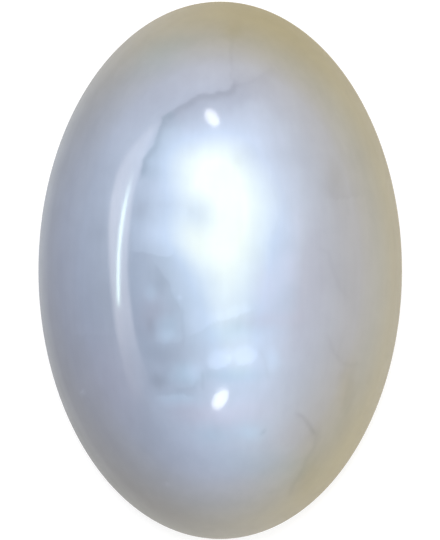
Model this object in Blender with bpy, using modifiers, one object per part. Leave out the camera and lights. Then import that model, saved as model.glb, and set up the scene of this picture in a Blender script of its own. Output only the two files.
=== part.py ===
"""A polished oval moonstone cabochon, in metres, +Z up.

The stone is one solid: a high dome with sides that lean in a little, which meets at the girdle a
shallow rounded back that is ground to a small flat spot. The origin is the centre of that spot.
The long axis lies along Y.
"""

import math

import bpy

# Driving dimensions, in metres
LENGTH = 0.0180
WIDTH = 0.01218
DOME_RISE = 0.0052
BACK_DEPTH = 0.0018

# The flat spot's length and width, as a share of the outline's
REST_SHARE = 0.52

# The dome follows a quarter of a superellipse, a little fuller than an ellipse, whose exponent is 2.
# It stops short of the full quarter, so its sides still lean in where they meet the girdle.
DOME_FULLNESS = 2.12
DOME_SWEEP = math.radians(73)
BACK_FULLNESS = 2.0
BACK_SWEEP = math.radians(90)

# How finely the turned form is faceted
STEPS_AROUND = 96
DOME_STEPS = 18
BACK_STEPS = 7

# Points closer than this are merged, which closes the form at its two poles
MERGE_DISTANCE = 0.00001

STONE_COLOUR = (0.53, 0.60, 0.70, 1.0)
STONE_ROUGHNESS = 0.08


def remove_everything():
    """Empties the scene."""
    for thing in list(bpy.data.objects):
        bpy.data.objects.remove(thing, do_unlink=True)


def quarter_curve(share, sweep, fullness):
    """A point on a superellipse's quarter, or on the first part of one: its ways out and up.

    Both run from 0 to 1. share runs from 0, straight above the centre, to 1, where the sweep ends,
    and there the curve is all the way out and no longer up.
    """
    def out_at(angle):
        return math.sin(angle) ** (2 / fullness)

    def up_at(angle):
        return max(math.cos(angle), 0.0) ** (2 / fullness)

    out = out_at(share * sweep) / out_at(sweep)
    up = (up_at(share * sweep) - up_at(sweep)) / (1 - up_at(sweep))
    return out, up


def stone_profile():
    """The stone's outline from the top of the dome, round the girdle, to the centre of the flat spot.

    It is drawn in the XZ plane on the +X side, at the radius of the stone's long half.
    """
    radius = LENGTH / 2
    flat_radius = radius * REST_SHARE
    points = []
    for step in range(DOME_STEPS + 1):
        out, up = quarter_curve(step / DOME_STEPS, DOME_SWEEP, DOME_FULLNESS)
        points.append((radius * out, 0.0, BACK_DEPTH + DOME_RISE * up))
    for step in range(1, BACK_STEPS + 1):
        out, down = quarter_curve(1 - step / BACK_STEPS, BACK_SWEEP, BACK_FULLNESS)
        points.append((flat_radius + (radius - flat_radius) * out, 0.0, BACK_DEPTH * (1 - down)))
    points.append((0.0, 0.0, 0.0))
    return points


def moonstone_material():
    """Milky blue-white feldspar with a polished surface."""
    material = bpy.data.materials.new("polished_moonstone")
    material.use_nodes = True
    surface = material.node_tree.nodes["Principled BSDF"]
    surface.inputs["Base Color"].default_value = STONE_COLOUR
    surface.inputs["Roughness"].default_value = STONE_ROUGHNESS
    surface.inputs["Metallic"].default_value = 0.0
    return material


def make_moonstone(collection):
    """The stone: its profile turned about Z, then narrowed along X to the oval outline."""
    points = stone_profile()
    edges = [(i, i + 1) for i in range(len(points) - 1)]
    mesh = bpy.data.meshes.new("moonstone")
    mesh.from_pydata(points, edges, [])
    stone = bpy.data.objects.new("moonstone", mesh)
    collection.objects.link(stone)
    stone.data.materials.append(moonstone_material())
    turn = stone.modifiers.new("turn", "SCREW")
    turn.axis = "Z"
    turn.angle = 2 * math.pi
    turn.steps = STEPS_AROUND
    turn.render_steps = STEPS_AROUND
    turn.use_merge_vertices = True
    turn.merge_threshold = MERGE_DISTANCE
    turn.use_smooth_shade = True
    stone.scale.x = WIDTH / LENGTH
    return stone


remove_everything()
parts = bpy.data.collections.new("moonstone_cabochon")
bpy.context.scene.collection.children.link(parts)
make_moonstone(parts)
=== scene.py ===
"""A polished oval moonstone on a pale table, seen from straight above."""

import math

import bpy
import mathutils
import numpy as np
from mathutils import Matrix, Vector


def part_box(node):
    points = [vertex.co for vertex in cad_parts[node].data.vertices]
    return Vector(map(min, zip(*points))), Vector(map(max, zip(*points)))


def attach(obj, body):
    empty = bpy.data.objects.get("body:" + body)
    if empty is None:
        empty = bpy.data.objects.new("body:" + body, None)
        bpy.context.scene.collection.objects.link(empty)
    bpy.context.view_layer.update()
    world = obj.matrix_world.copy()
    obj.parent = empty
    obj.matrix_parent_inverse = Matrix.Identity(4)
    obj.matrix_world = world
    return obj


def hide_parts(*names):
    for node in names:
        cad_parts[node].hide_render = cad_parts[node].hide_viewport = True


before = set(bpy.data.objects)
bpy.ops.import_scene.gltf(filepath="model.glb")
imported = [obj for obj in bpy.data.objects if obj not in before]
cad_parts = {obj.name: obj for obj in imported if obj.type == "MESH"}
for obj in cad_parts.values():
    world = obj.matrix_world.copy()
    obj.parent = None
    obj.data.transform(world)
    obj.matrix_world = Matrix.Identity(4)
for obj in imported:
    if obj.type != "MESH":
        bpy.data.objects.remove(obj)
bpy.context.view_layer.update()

# The stone
# One piece of moonstone, a milky feldspar, cut as an oval cabochon: sawn, ground to a dome on a
# wheel and polished all over. Its shallow back is ground to a flat spot, which it rests on.

# The width, the length and the height are read from the CAD solid. The girdle's height, the flat
# spot's share of the outline, and the fullness and sweep of the two curves repeat the solid's own.
stone_low, stone_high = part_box("moonstone")
half_width = (stone_high.x - stone_low.x) / 2
half_length = (stone_high.y - stone_low.y) / 2
girdle_height = 0.0018
dome_rise = stone_high.z - girdle_height
flat_share = 0.52
dome_fullness = 2.12
dome_sweep = math.radians(73)
back_fullness = 2.0
back_sweep = math.radians(90)

# How finely the surface is laid out, round the stone and down its dome, its back and its flat spot
steps_round = 480
dome_rings = 150
back_rings = 42
flat_rings = 8


def quarter_curve(share, sweep, fullness):
    """The ways out and up along a superellipse's quarter, or along the first part of one.

    The sine and the cosine of an angle that grows from 0 to the sweep, each raised to 2 over the
    fullness, and stretched so that the curve runs from 0 to 1 out and from 1 to 0 up.
    """
    angle = np.clip(share, 0, 1) * sweep
    power = 2 / fullness
    last_up = max(math.cos(sweep), 0.0) ** power
    out = np.sin(angle) ** power / math.sin(sweep) ** power
    up = (np.clip(np.cos(angle), 0, 1) ** power - last_up) / (1 - last_up)
    return out, up


def stone_surface(down, turn):
    """The polished surface at a grid of places, as arrays of x, y and z.

    down runs from 0 at the top of the dome, through 1 at the girdle and 2 at the edge of the flat
    spot, to 3 at its centre, and turn is the angle round. Every ring is an ellipse.
    """
    dome_out, dome_up = quarter_curve(down, dome_sweep, dome_fullness)
    back_out, back_down = quarter_curve(2 - down, back_sweep, back_fullness)
    flat_out = flat_share * np.clip(3 - down, 0, 1)
    back_out = flat_share + (1 - flat_share) * back_out
    out = np.where(down < 1, dome_out, np.where(down < 2, back_out, flat_out))
    up = np.where(down < 1, dome_rise * dome_up, -girdle_height * back_down)
    x = half_width * out * np.cos(turn)
    y = half_length * out * np.sin(turn)
    z = np.broadcast_to(girdle_height + up, x.shape)
    return x, y, z


def closed_mesh(name, x, y, z):
    """A mesh through a grid of rings, closed round each ring and at a point above and below them.

    Rows are rings from the top down, whose first and last are single points, and columns go round.
    """
    rings, columns = x.shape[0] - 2, x.shape[1]
    places = np.stack([x[1:-1], y[1:-1], z[1:-1]], axis=-1).reshape(-1, 3)
    poles = np.array([[x[0, 0], y[0, 0], z[0, 0]], [x[-1, 0], y[-1, 0], z[-1, 0]]])
    top, bottom = rings * columns, rings * columns + 1
    ring = np.arange(rings - 1)[:, None] * columns
    column = np.arange(columns)[None, :]
    following = (column + 1) % columns
    quads = np.stack([ring + column, ring + columns + column, ring + columns + following,
                      ring + following], axis=-1).reshape(-1, 4)
    first, last = np.arange(columns), (rings - 1) * columns + np.arange(columns)
    cap = np.stack([np.full(columns, top), first, np.roll(first, -1)], axis=-1)
    base = np.stack([np.full(columns, bottom), np.roll(last, -1), last], axis=-1)
    mesh = bpy.data.meshes.new(name)
    mesh.from_pydata(np.concatenate([places, poles]).tolist(), [],
                     quads.tolist() + cap.tolist() + base.tolist())
    mesh.shade_smooth()
    return mesh


down = np.concatenate([np.linspace(0, 1, dome_rings + 1),
                       np.linspace(1, 2, back_rings + 1)[1:],
                       np.linspace(2, 3, flat_rings + 1)[1:]])[:, None]
turn = np.linspace(0, 2 * math.pi, steps_round, endpoint=False)[None, :]
stone_mesh = closed_mesh("polished_moonstone", *stone_surface(down, turn))
stone = bpy.data.objects.new("polished_moonstone", stone_mesh)
bpy.context.scene.collection.objects.link(stone)

# What is seen inside the stone is worked out for every point of its surface. Places are in
# millimetres from the middle of the outline: x to the right, and y up the photograph. A point's
# outward share runs from 0 at the middle to 1 at the outline, and its bearing is in degrees.

point_count = len(stone_mesh.vertices)
places = np.empty(3 * point_count)
stone_mesh.vertices.foreach_get("co", places)
x, y, z = 1000 * places.reshape(point_count, 3).T
across, along = x / (1000 * half_width), y / (1000 * half_length)
outward = np.hypot(across, along)
bearing = np.degrees(np.arctan2(along, across))


def smooth_step(value, low, high):
    """0 below the low value, 1 above the high one, and a smooth rise between them."""
    share = np.clip((value - low) / (high - low), 0, 1)
    return share * share * (3 - 2 * share)


def store(name, values):
    """Keeps a value for each point of the stone, for its material to read."""
    stone_mesh.attributes.new(name, "FLOAT", "POINT").data.foreach_set("value", values)


def drop_share():
    """The halo of the painted sheen, the floating light: full inside a drop, wide above and narrow below,
    and fading out.

    It falls off as the exponential of minus the distance from the drop over the reach, to a power.
    """
    top_x, top_y, top_radius = -0.2, 1.95, 0.95
    low_x, low_y, low_radius = 0.65, -3.1, 0.15
    reach, power = 2.95, 1.15
    run_x, run_y = low_x - top_x, low_y - top_y
    fallen = np.clip(((x - top_x) * run_x + (y - top_y) * run_y) / (run_x ** 2 + run_y ** 2), 0, 1)
    radius = top_radius + (low_radius - top_radius) * fallen
    beyond = np.hypot(x - top_x - run_x * fallen, y - top_y - run_y * fallen) - radius
    return np.exp(-(np.maximum(beyond, 0) / reach) ** power)


def rim_share(middle, spread, start, full):
    """A stretch of the rim: 1 at the bearing of its middle, and fading round it over the spread.

    Round the stone it falls off as the exponential of minus the square of the bearing away over the
    spread, both in degrees. Outwards it starts at one outward share and is full at another.
    """
    away = (bearing - middle + 180) % 360 - 180
    return np.exp(-(away / spread) ** 2) * smooth_step(outward, start, full)


# Fractures and cloudy lenses bend a little, so the places where they are read are shifted by waves
# of 0.02 and 0.01 mm.
bent_x = x + 0.02 * np.sin(7.1 * y + 1.3) + 0.01 * np.sin(15.7 * y + 4.4 * x)
bent_y = y + 0.02 * np.sin(6.3 * x + 0.4) + 0.01 * np.sin(17.3 * x - 3.1 * y)


def fracture(points, light=(0, 0.3), dark=(0, 0.3), line=(0, 0.05), ends=0.2):
    """Tone beside an inner crack that is drawn through points: a painted reflection on its left, painted
    shade on its right.

    light, dark and line each give an amount and a reach in millimetres. Light and dark fall off
    as the exponential of minus the distance over the reach, and the line, which lies on the crack
    itself, with the square of that. All of it swells and fades over a share of the length at both
    ends.
    """
    half_border = 0.035
    lengths = [math.dist(a, b) for a, b in zip(points, points[1:])]
    nearest = np.full(point_count, np.inf)
    aside = np.zeros(point_count)
    share = np.zeros(point_count)
    passed = 0.0
    for (ax, ay), (bx, by), length in zip(points, points[1:], lengths):
        dx, dy = (bx - ax) / length, (by - ay) / length
        run = np.clip((bent_x - ax) * dx + (bent_y - ay) * dy, 0, length)
        distance = np.hypot(bent_x - ax - dx * run, bent_y - ay - dy * run)
        left = dx * (bent_y - ay) - dy * (bent_x - ax) > 0
        closer = distance < nearest
        nearest = np.where(closer, distance, nearest)
        aside = np.where(closer, np.where(left, distance, -distance), aside)
        share = np.where(closer, (passed + run) / sum(lengths), share)
        passed += length
    on_left = smooth_step(aside, -half_border, half_border)
    tone = on_left * light[0] * np.exp(-nearest / light[1])
    tone -= (1 - on_left) * dark[0] * np.exp(-nearest / dark[1])
    tone -= line[0] * np.exp(-(nearest / line[1]) ** 2)
    return tone * smooth_step(share, 0, ends) * smooth_step(1 - share, 0, ends)


def lens(middle, half_sizes, turn, amount, edge=2.0):
    """Tone of a cloudy lens, an oval turned by degrees.

    It falls off as the exponential of minus the distance from the middle, in half sizes, to the
    power of the edge, so a higher edge makes its border sharper.
    """
    cosine, sine = math.cos(math.radians(turn)), math.sin(math.radians(turn))
    from_x, from_y = bent_x - middle[0], bent_y - middle[1]
    length = (from_x * cosine + from_y * sine) / half_sizes[0]
    width = (from_y * cosine - from_x * sine) / half_sizes[1]
    return amount * np.exp(-np.hypot(length, width) ** edge)


# The crack below the crown, from the left up to the middle, where it meets two others
crown_crack = [(-2.65, 2.9), (-2.55, 3.35), (-2.48, 3.65), (-2.23, 4.0), (-2.07, 4.35), (-1.96, 4.7),
               (-1.9, 5.05), (-1.45, 5.28), (-1.2, 5.42), (-0.98, 5.57), (-0.75, 5.77), (-0.25, 5.75),
               (-0.05, 5.87), (0.2, 5.88), (0.35, 5.97), (0.43, 6.15), (0.38, 6.45)]
crown_crack_left_arm = crown_crack[:8]
crown_crack_core = [(px + 0.04, py - 0.1) for px, py in crown_crack]
tone = fracture(crown_crack, dark=(0.12, 0.6), ends=0.08)
tone += fracture(crown_crack_core, line=(0.10, 0.13), ends=0.08)
tone += fracture([(0.35, 6.1), (0.35, 6.9), (0.35, 7.75)], dark=(0.03, 0.3), line=(0.045, 0.05), ends=0.12)
tone += fracture([(0.35, 6.0), (0.75, 6.1), (1.05, 6.2), (1.4, 6.45), (1.8, 6.7)], dark=(0.04, 0.3),
                 line=(0.02, 0.05))
tone += lens((-0.5, 6.4), (1.45, 0.5), 6, 0.05, 3)
tone += lens((1.05, 6.7), (0.5, 0.3), 20, 0.04, 2.5)
tone += lens((0.55, 5.55), (0.4, 0.25), 10, -0.04)
tone += lens((-1.62, 4.88), (0.3, 0.25), 30, -0.09)
tone += lens((1.25, 5.2), (0.5, 0.5), -10, 0.07, 3)
tone += lens((1.4, 4.3), (0.45, 0.45), -10, 0.04, 2.5)
tone += lens((-2.25, 3.0), (0.25, 0.5), -15, -0.05, 2.5)

# Left of the painted sheen: a soft dark hook that reaches into it, over a pale field
tone += fracture([(-2.25, 2.15), (-1.85, 2.15), (-1.45, 2.15), (-1.05, 2.05), (-0.7, 1.85)],
                 line=(0.03, 0.12))
tone += fracture([(-3.05, 0.65), (-2.6, 0.6), (-2.2, 0.5), (-1.75, 0.45), (-1.4, 0.55)],
                 light=(0.06, 0.45), dark=(0.05, 0.3))
tone += fracture([(-2.25, 0.4), (-1.95, 0.05), (-1.7, -0.35), (-1.55, -0.7), (-1.35, -1.15),
                 (-1.25, -1.55)], dark=(0.08, 0.4))
tone += lens((-2.55, 2.0), (0.3, 0.4), 0, -0.14)
tone += lens((-2.25, 1.1), (0.45, 0.4), 0, 0.11, 2.5)
tone += lens((-2.35, 0.2), (0.5, 0.3), -10, -0.03, 2.5)
tone += lens((-2.55, -0.5), (0.3, 0.65), 0, 0.05)
tone += lens((-1.95, -0.4), (0.3, 0.4), -30, -0.10)
tone += lens((-2.25, -0.75), (0.2, 0.3), 10, 0.11, 2.5)

# The pale panes low on the left, in a dark surround
tone += fracture([(-2.25, -2.3), (-1.95, -2.35), (-1.55, -2.35), (-1.2, -2.35)], light=(0.06, 0.25),
                 dark=(0.02, 0.2), ends=0.15)
tone += fracture([(-1.2, -2.65), (-1.2, -1.95), (-1.25, -1.35), (-1.35, -1.0)], line=(0.05, 0.07))
tone += lens((-1.95, -1.2), (0.6, 0.25), 0, -0.03, 2.5)
tone += lens((-1.8, -2.75), (0.6, 0.3), 0, -0.08, 2.5)
tone += lens((-2.0, -3.6), (0.25, 0.25), 0, -0.17)
tone += lens((-1.75, -1.95), (0.4, 0.4), 0, 0.03, 2.5)
tone += lens((-1.75, -2.1), (0.3, 0.2), 0, 0.12, 2.5)
tone += lens((-2.25, -1.8), (0.15, 0.3), 0, -0.13)
tone += lens((-0.85, -1.5), (0.3, 0.4), 10, 0.07, 3)
tone += lens((-0.75, -2.45), (0.4, 0.3), 0, -0.03, 2.5)

# Below the painted sheen: a long crack over a dark wedge
tone += fracture([(-1.15, -2.15), (-0.85, -2.05), (-0.5, -1.9), (-0.2, -1.7), (0.05, -1.6),
                 (0.4, -1.55), (0.8, -1.4), (1.15, -1.2)], light=(0.05, 0.3), dark=(0.03, 0.3),
                 ends=0.12)
tone += lens((-0.2, -1.55), (0.3, 0.25), 20, 0.04, 2.5)
tone += lens((0.4, -1.35), (0.45, 0.2), 15, 0.06, 3)
tone += lens((0.65, -1.8), (0.55, 0.25), 14, -0.07, 2.5)
tone += lens((1.35, -1.7), (0.5, 0.35), 0, -0.03, 2.5)

# The two pale lenses above the lower lamp's image, and the pale spots beside them
tone += fracture([(-0.5, -3.2), (-0.1, -3.2), (0.15, -3.1), (0.33, -2.92), (0.4, -2.65)],
                 light=(0.10, 0.3), ends=0.15)
tone += fracture([(0.42, -3.08), (0.75, -3.1), (1.0, -2.98), (1.2, -2.78), (1.27, -2.5)],
                 light=(0.08, 0.3), dark=(0.01, 0.2), ends=0.15)
tone += fracture([(1.35, -2.45), (1.4, -2.85), (1.5, -3.25), (1.65, -3.7)], line=(0.035, 0.06))
tone += fracture([(-1.55, -3.85), (-1.25, -3.85), (-0.9, -3.75), (-0.65, -3.45)], dark=(0.08, 0.2))
tone += fracture([(-0.55, -3.25), (-0.56, -3.6), (-0.58, -3.95)], line=(0.06, 0.06))
tone += lens((-0.02, -2.87), (0.48, 0.3), 30, 0.12, 4)
tone += lens((0.8, -2.75), (0.42, 0.3), 18, 0.10, 4)
tone += lens((1.2, -2.25), (0.25, 0.25), 0, 0.04)
tone += lens((1.75, -2.95), (0.25, 0.35), 0, 0.08, 2.5)
tone += lens((0.5, -3.4), (1.0, 0.25), 0, -0.08, 2.5)
tone += lens((-0.9, -3.3), (0.3, 0.3), -20, 0.16, 2.5)
tone += lens((-1.4, -3.4), (0.25, 0.3), -15, 0.06, 2.5)

# The shelf and the low cloud, with cracks along the cloud's right side
tone += fracture([(-0.75, -4.1), (-1.3, -4.05), (-1.8, -4.05), (-2.2, -4.1)], light=(0.07, 0.25),
                 dark=(0.05, 0.15))
tone += fracture([(2.4, -4.6), (2.7, -4.85), (2.95, -5.1), (3.15, -5.45)], line=(0.12, 0.08))
tone += fracture([(2.2, -7.65), (2.35, -7.2), (2.6, -6.75), (2.85, -6.25), (3.05, -5.8), (3.1, -5.4)],
                 dark=(0.05, 0.25), line=(0.04, 0.07), ends=0.15)
tone += lens((-1.35, -4.25), (0.7, 0.25), 0, 0.06, 3)
tone += lens((0.05, -4.6), (1.0, 0.3), 0, 0.05, 2.5)
tone += lens((0.9, -4.3), (0.5, 0.3), 0, 0.04, 2.5)
tone += lens((1.05, -5.2), (1.9, 1.05), -3, 0.08, 3)
tone += lens((1.0, -5.3), (0.4, 0.3), 0, 0.08)
tone += lens((-0.25, -5.4), (0.5, 0.3), 0, -0.03)
tone += lens((3.15, -5.4), (0.2, 0.25), 0, -0.11)
tone += lens((-2.3, -5.6), (0.5, 1.0), 25, -0.07)

# Faint panes and cracks on the right
tone += fracture([(1.55, 0.5), (1.65, 1.15), (1.9, 1.8), (1.8, 2.1), (1.65, 2.75), (1.65, 3.4),
                 (1.85, 3.9)], dark=(0.03, 0.4), ends=0.25)
tone += fracture([(4.9, 2.4), (4.25, 2.4), (3.8, 2.3), (3.35, 2.35)], dark=(0.06, 0.3))
tone += fracture([(3.0, 0.82), (3.5, 0.6), (3.7, 0.05), (3.87, -0.5), (4.4, -1.1)], dark=(0.02, 0.25),
                 line=(0.03, 0.08))
tone += fracture([(4.8, -3.1), (4.35, -3.1), (4.0, -3.05), (3.75, -2.7), (3.55, -2.3), (3.4, -1.95)],
                 line=(0.05, 0.08))
tone += lens((2.6, 3.75), (1.55, 0.3), -3, -0.03)
tone += lens((3.75, 2.95), (0.35, 0.75), 0, -0.03, 4)
tone += lens((2.25, 0.2), (0.35, 0.5), 0, 0.05, 2.5)
tone += lens((4.45, 3.6), (0.35, 0.4), 0, -0.04)
tone += lens((2.5, 1.8), (0.15, 1.6), 0, 0.04)
tone += lens((2.1, 3.9), (0.25, 0.7), 0, 0.04, 2.5)
tone += lens((1.95, -0.05), (0.6, 1.35), 0, 0.04, 3)
tone += lens((3.65, -1.5), (0.55, 0.7), -10, 0.03, 3)
tone += lens((1.8, -2.3), (0.4, 0.55), 0, 0.05, 3)
tone += lens((4.25, -4.0), (0.18, 0.8), -8, -0.05, 3)

# Paler and darker stretches near the left side
tone += lens((-3.0, 4.3), (0.75, 0.8), 30, 0.075, 2.5)
tone += lens((-4.1, 0.3), (0.6, 1.6), 0, 0.04, 2.5)
tone += lens((-3.6, -2.95), (0.6, 1.45), 15, 0.08, 2.5)
tone += lens((-5.0, 1.75), (0.55, 0.2), -40, -0.035)
tone += lens((-4.05, 1.25), (0.45, 0.45), 0, -0.07)
tone += fracture([(-5.0, -2.1), (-4.2, -2.1), (-3.3, -2.1)], light=(0.04, 0.4), dark=(0.01, 0.3))

# A dark speck low on the right, and three pale ones on the left
tone += lens((1.41, -5.28), (0.13, 0.07), 45, -0.13)
tone += lens((-1.3, -0.9), (0.07, 0.07), 0, 0.12)
tone += lens((-1.72, -7.03), (0.08, 0.08), 0, 0.09)
tone += lens((-4.57, -4.03), (0.09, 0.09), 0, 0.20)

# The rim is paler low on the right, and painted shade darkens it low on the left.
tone += 0.08 * rim_share(-47, 19, 0.85, 0.95)
tone -= 0.13 * rim_share(-138, 28, 0.95, 0.985)

# Where the milky light is rosier, above 0, or bluer, below 0: bluer under the crown crack and high on
# the left
blush = fracture(crown_crack_left_arm, dark=(0.035, 0.5), ends=0.1)
blush += lens((-1.95, 7.1), (1.0, 0.65), 30, -0.04, 2.5)

# Rosier to the right of the painted sheen and low on the left side
blush += lens((2.2, 0.1), (0.4, 0.6), 0, 0.025, 2.5)
blush += lens((1.5, -0.6), (0.45, 0.85), 0, 0.05, 2.5)
blush += lens((1.25, -1.65), (0.5, 0.3), 10, 0.035, 2.5)
blush += lens((2.0, -1.6), (0.6, 0.25), 5, 0.025, 2.5)
blush += lens((-3.45, -3.6), (0.85, 1.6), 20, 0.05, 2.5)

# Bluer in the panes low on the left, and rosier between them
blush += lens((-2.25, -0.75), (0.2, 0.3), 0, -0.03, 2.5)
blush += lens((-2.25, -1.45), (0.5, 0.7), 0, 0.04, 2.5)
blush += lens((-1.75, -1.9), (0.4, 0.45), 0, -0.05, 2.5)
blush += lens((-1.15, -3.4), (0.5, 0.4), -10, -0.06, 2.5)

# Bluer in the wedge, round the two pale lenses and on the shelf, and rosier below that
blush += lens((0.35, -2.0), (0.85, 0.3), 10, -0.03, 2.5)
blush += lens((1.75, -2.95), (0.25, 0.35), 0, -0.04, 2.5)
blush += lens((0.5, -3.4), (1.0, 0.25), 0, -0.04, 2.5)
blush += lens((-1.35, -4.15), (0.65, 0.2), 0, -0.04, 2.5)
blush += lens((-0.95, -4.65), (0.7, 0.35), 0, 0.045, 2.5)
blush += lens((0.05, -4.7), (0.7, 0.35), 0, 0.04, 2.5)
blush += lens((1.05, -4.5), (0.7, 0.35), 0, 0.025, 2.5)

# Bluer in the low cloud
blush += lens((-0.2, -5.4), (0.6, 0.3), 0, -0.05)
blush += lens((1.0, -5.3), (0.5, 0.3), 0, -0.08)
blush += lens((1.15, -6.3), (1.6, 0.6), -4, -0.05, 2.5)

# The painted sheen, a floating light from within: a halo, its bright head and right flank, a spine, and a
# lobe below the hook
painted_sheen = 0.71 * drop_share()
painted_sheen += lens((0.1, 4.4), (1.95, 0.75), 11, 0.13, 2.4)
painted_sheen += lens((-0.4, 3.3), (1.25, 0.9), 4, 0.27, 2.4)
painted_sheen += lens((0.95, 1.9), (1.85, 2.4), -5, 0.24, 2.4)
painted_sheen += lens((0.2, 0.4), (0.55, 2.4), 0, 0.10, 2.2)
painted_sheen += lens((0.4, 1.9), (0.55, 0.9), 0, 0.08, 2.4)
painted_sheen += lens((-0.9, 0.85), (0.6, 1.05), 57, 0.155, 2.4)
painted_sheen += lens((-1.6, 3.95), (0.75, 1.0), 0, 0.08, 2.4)
painted_sheen += lens((-0.7, 1.85), (0.55, 0.32), -5, -0.035, 2.4)
painted_sheen += lens((1.8, 0.7), (0.35, 0.9), -5, -0.05, 2.4)

# Painted light at the rim: the tan of light that has passed through the stone, strongest on the right and
# at the top, weak at the foot, and absent on the left
painted_rim_tan = 0.57 * rim_share(6, 60, 0.27, 0.80)
painted_rim_tan += 0.64 * rim_share(86, 52, 0.46, 0.95)
painted_rim_tan += 0.32 * rim_share(-107, 57, 0.60, 0.94)
painted_rim_tan += 0.35 * rim_share(-52, 33, 0.41, 0.80)

# Tan patches under the dome on the right, and a small brown spot at the top
inner_stain = lens((4.15, -3.8), (0.35, 0.95), -5, 0.06)
inner_stain += lens((3.75, 2.95), (0.35, 0.75), 0, 0.03)
inner_stain += lens((2.9, -6.7), (0.35, 0.8), -20, 0.05)
inner_stain += lens((0.43, 7.88), (0.33, 0.3), 0, 0.05)

# How far a place lies towards the paler side, which is the right and a little up, paler partly as painted
# light
paler_bearing = math.radians(16)
to_paler_side = across * math.cos(paler_bearing) + along * math.sin(paler_bearing)

# What lies under the dome fades out just below the girdle, and the painted sheen is weaker there.
front = smooth_step(z, 0.6, 1.6)
back_painted_sheen = 0.8
store("painted_sheen", np.clip(painted_sheen, 0, 1) * (back_painted_sheen + (1 - back_painted_sheen) * front))
store("stain_and_painted_tan", np.clip(painted_rim_tan + front * inner_stain, 0, 1))
store("tone", front * tone)
store("blush", front * blush)
store("right_side", smooth_step(to_paler_side, -0.77, 0.51))


def linear(hex_colour):
    """A linear colour with alpha from an sRGB hex string such as "c0ffee"."""
    shares = [int(hex_colour[i:i + 2], 16) / 255 for i in (0, 2, 4)]
    return [s / 12.92 if s <= 0.04045 else ((s + 0.055) / 1.055) ** 2.4 for s in shares] + [1.0]


def add(tree, kind, inputs=None, stops=None, **settings):
    """Adds a node to a tree, with its settings.

    inputs gives a socket a value or links it from another node's output, and stops are a colour
    ramp's places and hex colours, with its two ends first.
    """
    made = tree.nodes.new(kind)
    for name, value in settings.items():
        setattr(made, name, value)
    for socket, value in (inputs or {}).items():
        if isinstance(value, bpy.types.NodeSocket):
            tree.links.new(value, made.inputs[socket])
        else:
            made.inputs[socket].default_value = value
    for number, (place, colour) in enumerate(stops or []):
        elements = made.color_ramp.elements
        stop = elements[number] if number < 2 else elements.new(place)
        stop.position = place
        stop.color = linear(colour)
    return made


# Polished moonstone is a milky feldspar. The eye sees sharp images of the lamps over a soft body. Its
# blue-white light from within is painted into its colour as a sheen, which gives way to painted tan light
# at the rim.
material = bpy.data.materials.new("milky_polished_moonstone")
material.use_nodes = True
tree = material.node_tree
surface = tree.nodes["Principled BSDF"]

place = add(tree, "ShaderNodeTexCoord").outputs["Object"]
flat_place = add(tree, "ShaderNodeVectorMath", {0: place, 1: (1 / half_width, 1 / half_length, 0)},
                 operation="MULTIPLY").outputs[0]
way_out = add(tree, "ShaderNodeVectorMath", {0: flat_place}, operation="LENGTH").outputs["Value"]
painted_sheen_share = add(tree, "ShaderNodeAttribute", attribute_name="painted_sheen").outputs["Fac"]
stain_and_painted_tan_share = add(tree, "ShaderNodeAttribute", attribute_name="stain_and_painted_tan").outputs["Fac"]
right_share = add(tree, "ShaderNodeAttribute", attribute_name="right_side").outputs["Fac"]
inner_tone = add(tree, "ShaderNodeAttribute", attribute_name="tone").outputs["Fac"]
blush_share = add(tree, "ShaderNodeAttribute", attribute_name="blush").outputs["Fac"]

# Grey-blue feldspar, deep towards the middle, and paler on the right, partly its own colour and partly
# painted light. A Mix node's sockets 6 and 7 are its two colours.
left_body = add(tree, "ShaderNodeValToRGB", {0: way_out},
                stops=[(0.2, "282732"), (1.0, "868991"), (0.45, "2f3c53"), (0.62, "5a5e6d"),
                       (0.75, "596179"), (0.86, "535a74"), (0.94, "646879")])
right_body = add(tree, "ShaderNodeValToRGB", {0: way_out},
                 stops=[(0.2, "282732"), (1.0, "b7b5b6"), (0.45, "877b86"), (0.62, "9aa0bd"),
                        (0.75, "abb6db"), (0.86, "aab3c7"), (0.94, "bfbfc1")])
body = add(tree, "ShaderNodeMix", {0: right_share, 6: left_body.outputs["Color"],
                                   7: right_body.outputs["Color"]}, data_type="RGBA")

# The painted sheen, a floating blue-white light, whitest at its heart
painted_sheen_colour = add(tree, "ShaderNodeValToRGB", {0: painted_sheen_share},
                  stops=[(0.2, "cadef7"), (1.0, "d7e1dd"), (0.65, "c8ddf7")])
body_with_painted_sheen = add(tree, "ShaderNodeMix", {0: painted_sheen_share, 6: body.outputs[2],
                                       7: painted_sheen_colour.outputs["Color"]}, data_type="RGBA")

# Painted tan light at the rim, and the tan stains under the dome
with_stain_and_painted_tan = add(tree, "ShaderNodeMix", {0: stain_and_painted_tan_share, 6: body_with_painted_sheen.outputs[2], 7: linear("7e6d19")},
              data_type="RGBA")

# The milkiness is cloudy in puffs of about 1.1 mm. The lamellae that scatter its light are thinner
# than a micrometre, so they are drawn much coarser, as faint streaks 0.3 mm wide and 2.4 mm long.
# Places are squeezed along Y before the streaks are read, which draws them out along the stone.
puffs_per_metre = 900.0
streaks_per_metre = 3500.0
streak_squeeze = (1.0, 0.12, 1.0)
cloud = add(tree, "ShaderNodeTexNoise", {"Vector": place, "Scale": puffs_per_metre, "Detail": 3.0,
                                         "Roughness": 0.5}).outputs["Fac"]
cloud_tone = add(tree, "ShaderNodeMapRange", {"Value": cloud, "From Min": 0.3, "From Max": 0.7,
                                              "To Min": 0.97, "To Max": 1.03}).outputs["Result"]
streak_place = add(tree, "ShaderNodeVectorMath", {0: place, 1: streak_squeeze},
                   operation="MULTIPLY").outputs[0]
streaks = add(tree, "ShaderNodeTexNoise", {"Vector": streak_place, "Scale": streaks_per_metre,
                                           "Detail": 2.0, "Roughness": 0.5}).outputs["Fac"]
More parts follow.
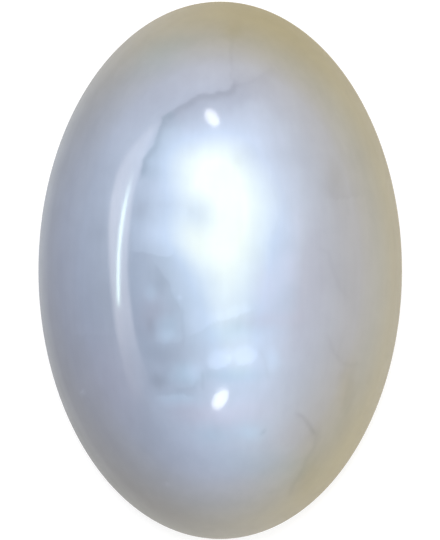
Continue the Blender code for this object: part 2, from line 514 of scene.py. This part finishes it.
streak_tone = add(tree, "ShaderNodeMapRange", {"Value": streaks, "From Min": 0.3, "From Max": 0.7,
                                               "To Min": -0.015, "To Max": 0.015}).outputs["Result"]
fine_tone = add(tree, "ShaderNodeMath", {0: cloud_tone, 1: streak_tone}, operation="ADD").outputs[0]

# Fractures and lenses darken or lighten all of it, the fractures' light sides being painted reflection and
# their dark sides painted shade, and blush shifts it towards rose or blue.
rose = (1.0, -0.35, -0.45)
brightness = add(tree, "ShaderNodeMath", {0: inner_tone, 1: fine_tone}, operation="ADD").outputs[0]
rose_share = add(tree, "ShaderNodeVectorMath", {0: rose, "Scale": blush_share},
                 operation="SCALE").outputs[0]
shade = add(tree, "ShaderNodeVectorMath", {0: rose_share, 1: brightness}, operation="ADD").outputs[0]
toned = add(tree, "ShaderNodeVectorMath", {0: with_stain_and_painted_tan.outputs[2], 1: shade}, operation="MULTIPLY")
tree.links.new(toned.outputs[0], surface.inputs["Base Color"])

# The body only scatters light, so the layer under the polish has no shine of its own.
surface.inputs["Roughness"].default_value = 0.45
surface.inputs["Specular IOR Level"].default_value = 0.0

# The coat is the polish, with feldspar's own IOR, and it mirrors less towards the girdle.
polish = add(tree, "ShaderNodeMapRange", {"Value": way_out, "From Min": 0.80, "From Max": 0.96,
                                          "To Min": 1.0, "To Max": 0.35}, interpolation_type="SMOOTHSTEP")
tree.links.new(polish.outputs["Result"], surface.inputs["Coat Weight"])
surface.inputs["Coat Roughness"].default_value = 0.10
surface.inputs["Coat IOR"].default_value = 1.52

# Light that goes in comes out again within about 0.3 mm.
surface.inputs["Subsurface Weight"].default_value = 0.15
surface.inputs["Subsurface Radius"].default_value = (1.0, 0.9, 0.8)
surface.inputs["Subsurface Scale"].default_value = 0.0003

stone_mesh.materials.append(material)
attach(stone, "root")
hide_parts("moonstone")

# The table
# A plain board of opal acrylic under the stone, lit from below as a light table is, so that the stone
# throws hardly a shadow. It lies a hair lower than the flat spot, so that the two share no plane.

table_reach = 0.6
table_top = -0.00002
table_corners = [(-table_reach, -table_reach, table_top), (table_reach, -table_reach, table_top),
                 (table_reach, table_reach, table_top), (-table_reach, table_reach, table_top)]
table_mesh = bpy.data.meshes.new("table")
table_mesh.from_pydata(table_corners, [], [(0, 1, 2, 3)])
table = bpy.data.objects.new("table", table_mesh)
bpy.context.scene.collection.objects.link(table)

# Opal acrylic looks evenly white and glows softly, with no shine.
board = bpy.data.materials.new("opal_board")
board.use_nodes = True
board_surface = board.node_tree.nodes["Principled BSDF"]
board_surface.inputs["Base Color"].default_value = linear("c8c8c8")
board_surface.inputs["Roughness"].default_value = 0.9
board_surface.inputs["Specular IOR Level"].default_value = 0.0
board_surface.inputs["Emission Color"].default_value = linear("ffffff")
board_surface.inputs["Emission Strength"].default_value = 0.5
table_mesh.materials.append(board)

# The lamps
# Three soft lamps that face the stone. The large round one, nearly overhead, lights its body, and the
# two small oval ones show as bright images in the polish, above and below the middle.

lamp_distance = 0.4


def lamp(name, zenith, azimuth, half_sizes, radiance, spin=0.0, mirrored=True):
    """An oval area lamp that faces the stone. Angles are in degrees, as seen from the stone.

    Its first half size lies along the zenith's direction and its second across it, before the lamp
    is spun round the line to the stone. Its power is its area times its radiance times pi. One that
    isn't mirrored lights the stone and leaves no image in its polish.
    """
    light = bpy.data.lights.new(name, "AREA")
    light.shape = "ELLIPSE"
    light.size = 2 * lamp_distance * math.tan(math.radians(half_sizes[0]))
    light.size_y = 2 * lamp_distance * math.tan(math.radians(half_sizes[1]))
    area = math.pi * light.size * light.size_y / 4
    light.energy = radiance * math.pi * area
    facing = mathutils.Euler((0, math.radians(zenith), math.radians(azimuth))).to_matrix()
    thing = bpy.data.objects.new(name, light)
    thing.location = facing @ mathutils.Vector((0, 0, lamp_distance))
    thing.rotation_euler = (facing @ mathutils.Matrix.Rotation(math.radians(spin), 3, "Z")).to_euler()
    thing.visible_camera = False
    thing.visible_glossy = mirrored
    bpy.context.scene.collection.objects.link(thing)


lamp("overhead_lamp", 17.2, 94.7, (11.0, 11.0), 9.4, mirrored=False)
lamp("upper_lamp", 51.9, 96.5, (5.3, 2.9), 10.0, spin=47.0)
lamp("lower_lamp", 41.4, -89.9, (5.7, 3.2), 11.0, spin=122.0)

# The light card
# A curved sheet of white paper low on the left, part of a ball round the stone, which glows as if a
# lamp were on it. It is seen only in the polish, as a pale band and, inside that, a thin bright line.

card_distance = 0.45
card_columns, card_rows = 121, 61

# Places on it are in degrees, as seen from the stone: azimuth round from +X, and zenith from straight up.
card_azimuth, card_zenith = np.meshgrid(np.linspace(125, 222, card_columns),
                                        np.linspace(56, 84, card_rows))
zenith, azimuth = np.radians(card_zenith), np.radians(card_azimuth)
card_places = card_distance * np.stack([np.sin(zenith) * np.cos(azimuth), np.sin(zenith) * np.sin(azimuth),
                                        np.cos(zenith)], axis=-1).reshape(-1, 3)
corner = (np.arange(card_rows - 1)[:, None] * card_columns + np.arange(card_columns - 1)).reshape(-1, 1)
card_faces = corner + np.array([0, 1, card_columns + 1, card_columns])
card_mesh = bpy.data.meshes.new("light_card")
card_mesh.from_pydata(card_places.tolist(), [], card_faces.tolist())

# The band's two edges, and how it fades at its ends and low on its outer side
inner_edge = np.interp(card_azimuth, [130, 147, 158, 168, 190, 212, 219],
                       [67.0, 64.4, 63.3, 61.6, 59.8, 59.8, 61.5])
outer_edge = np.interp(card_azimuth, [130, 140, 150, 156, 163, 170, 178, 188, 204, 212],
                       [69.5, 73.5, 79.5, 81.5, 81.0, 79.0, 76.5, 75.0, 75.5, 77.5])
band = smooth_step(card_zenith, inner_edge - 0.5, inner_edge + 1.5)
band = band * (1 - smooth_step(card_zenith, outer_edge - 2.5, outer_edge + 1.0))
band = band * smooth_step(card_azimuth, 125, 139) * (0.5 + 0.5 * smooth_step(card_azimuth, 143, 168))
band = band * np.interp(card_azimuth, [192, 199, 205, 210, 214, 218], [1.0, 0.72, 0.42, 0.28, 0.22, 0.0])
band = band * (1 - 0.4 * smooth_step(card_azimuth, 196, 206) * smooth_step(card_zenith, 63, 80))

# The bright line inside it
line_zenith = np.interp(card_azimuth, [150, 166, 180, 189], [68.6, 68.3, 68.5, 69.4])
line_spread = 0.95
line = np.exp(-((card_zenith - line_zenith) / line_spread) ** 2)
line = line * smooth_step(card_azimuth, 150, 166) * (1 - smooth_step(card_azimuth, 188, 190))

band_radiance = 3.6 * np.array(linear("fff7f9")[:3])
line_radiance = 18.0 * np.array(linear("e1fff0")[:3])
card_light = band[..., None] * band_radiance + line[..., None] * line_radiance
light_colour = card_mesh.attributes.new("light", "FLOAT_VECTOR", "POINT")
light_colour.data.foreach_set("vector", card_light.ravel())

# Lit white paper gives the polish a soft white image. Only its light counts, so the rest is clear.
card_material = bpy.data.materials.new("lit_paper")
card_material.use_nodes = True
card_tree = card_material.node_tree
card_tree.nodes.remove(card_tree.nodes["Principled BSDF"])
card_colour = add(card_tree, "ShaderNodeAttribute", attribute_name="light").outputs["Vector"]
card_glow = add(card_tree, "ShaderNodeEmission", {"Color": card_colour})
card_clear = add(card_tree, "ShaderNodeBsdfTransparent")
card_sum = add(card_tree, "ShaderNodeAddShader", {0: card_glow.outputs[0], 1: card_clear.outputs[0]})
card_tree.links.new(card_sum.outputs[0], card_tree.nodes["Material Output"].inputs["Surface"])
card_mesh.materials.append(card_material)
card = bpy.data.objects.new("light_card", card_mesh)
card.visible_camera = False
card.visible_diffuse = False
card.visible_shadow = False
bpy.context.scene.collection.objects.link(card)

# The room
# White walls all round, which give even light from all sides, a little stronger near the horizon,
# where the table starts.

room = bpy.data.worlds.new("white_room")
bpy.context.scene.world = room
room.use_nodes = True
walls = room.node_tree.nodes["Background"]
walls.inputs["Color"].default_value = linear("ffffff")
look = add(room.node_tree, "ShaderNodeTexCoord").outputs["Generated"]
look_up = add(room.node_tree, "ShaderNodeSeparateXYZ", {0: look}).outputs["Z"]
room_light = add(room.node_tree, "ShaderNodeMapRange", {"Value": look_up, "From Max": 0.4, "To Min": 1.22,
                                                        "To Max": 1.0}, interpolation_type="SMOOTHSTEP")
room.node_tree.links.new(room_light.outputs["Result"], walls.inputs["Strength"])

# Colours are shown as they are, with no film curve.
bpy.context.scene.view_settings.view_transform = "Standard"

# The camera
# It looks straight down through a long lens, as in the photograph, and the stone fills the picture
# as it does there. Pixel values are in the photograph's own frame.

photo_width, photo_height = 440, 540
stone_height_pixels = 537.4
stone_middle_x, stone_middle_y = 220.2, 270.3
focal_length, sensor_size = 300, 36
camera_data = bpy.data.cameras.new("camera")
camera_data.lens = focal_length
camera_data.sensor_width = sensor_size
camera_data.clip_start = 0.01
camera = bpy.data.objects.new("camera", camera_data)
pixel_size = 2 * half_length / stone_height_pixels
camera_distance = photo_height * pixel_size * focal_length / sensor_size
camera.location = ((photo_width / 2 - stone_middle_x) * pixel_size,
                   (stone_middle_y - photo_height / 2) * pixel_size, girdle_height + camera_distance)
bpy.context.scene.collection.objects.link(camera)
bpy.context.scene.camera = camera
